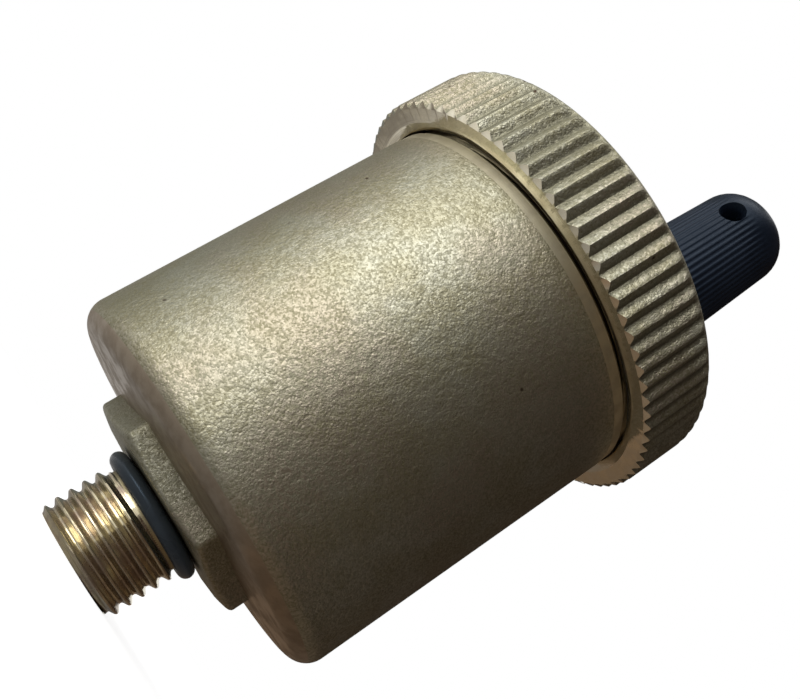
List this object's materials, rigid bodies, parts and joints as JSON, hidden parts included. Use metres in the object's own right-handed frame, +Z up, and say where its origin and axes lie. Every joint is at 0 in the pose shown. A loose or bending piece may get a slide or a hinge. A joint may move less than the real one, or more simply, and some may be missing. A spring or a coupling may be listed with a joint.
{
  "type": "air release valve",
  "caption": "Float air release valve: cylindrical brass chamber on a threaded inlet with hexagon and O-ring, toothed screw-on cover, and an off-centre ribbed vent cap.",
  "frame": {"origin": "centre of the inlet's end face, on the valve's axis", "axes": "+Z up along the valve's axis towards the cover; the vent cap stands on the +X, -Y side of the cover"},
  "size_m": [0.05, 0.05, 0.0842],
  "materials": {
    "brass_cast": "blasted casting",
    "brass_turned": "turned",
    "rubber_black": "moulded",
    "plastic_black": "moulded, satin",
    "plastic_float": "moulded",
    "plastic_lever": "moulded",
    "steel": "stainless"
  },
  "bodies": {
    "body": {"body_shell": "brass_cast", "inlet_oring": "rubber_black"},
    "gasket": {"cover_gasket": "rubber_black"},
    "cover": {"cover_ring": "brass_cast", "vent_nozzle": "brass_turned", "nozzle_oring": "rubber_black", "lever_bracket": "steel", "bracket_screw_left": "steel", "bracket_screw_right": "steel", "lever_pin": "steel", "pin_clip": "steel"},
    "float": {"float_cup": "plastic_float", "float_lid": "plastic_float", "float_yoke": "steel", "yoke_pin": "steel"},
    "lever": {"float_lever": "plastic_lever", "seal_holder": "brass_turned", "seal_pad": "rubber_black"},
    "washer": {"cap_washer": "rubber_black"},
    "cap": {"vent_cap": "plastic_black"}
  },
  "joints": [
    {"name": "cover_lift", "type": "slide", "parent": "body", "child": "gasket", "axis": [0, 0, 1], "range_m": [0, 0.0045]},
    {"name": "cover_turn", "type": "hinge", "parent": "gasket", "child": "cover", "pos_m": [0, 0, 0.0585], "axis": [0, 0, 1], "range_deg": [0, 1080.1]},
    {"name": "float_rise", "type": "slide", "parent": "cover", "child": "float", "axis": [0, 0, 1], "range_m": [0, 0.00517]},
    {"name": "lever_tilt", "type": "hinge", "parent": "cover", "child": "lever", "pos_m": [0.01093, -0.01056, 0.0549], "axis": [0.6947, 0.7193, 0], "range_deg": [0, 15]},
    {"name": "cap_lift", "type": "slide", "parent": "cover", "child": "washer", "axis": [0, 0, 1], "range_m": [0, 0.00375]},
    {"name": "cap_turn", "type": "hinge", "parent": "washer", "child": "cap", "pos_m": [0.00827, -0.00799, 0.0638], "axis": [0, 0, 1], "range_deg": [0, 1080.1]}
  ],
  "couplings": [
    {"joint": "cover_turn", "follows": "cover_lift", "rad_per_m": 4188.8},
    {"joint": "lever_tilt", "follows": "float_rise", "rad_per_m": 50.576},
    {"joint": "cap_turn", "follows": "cap_lift", "rad_per_m": 5026.5}
  ]
}
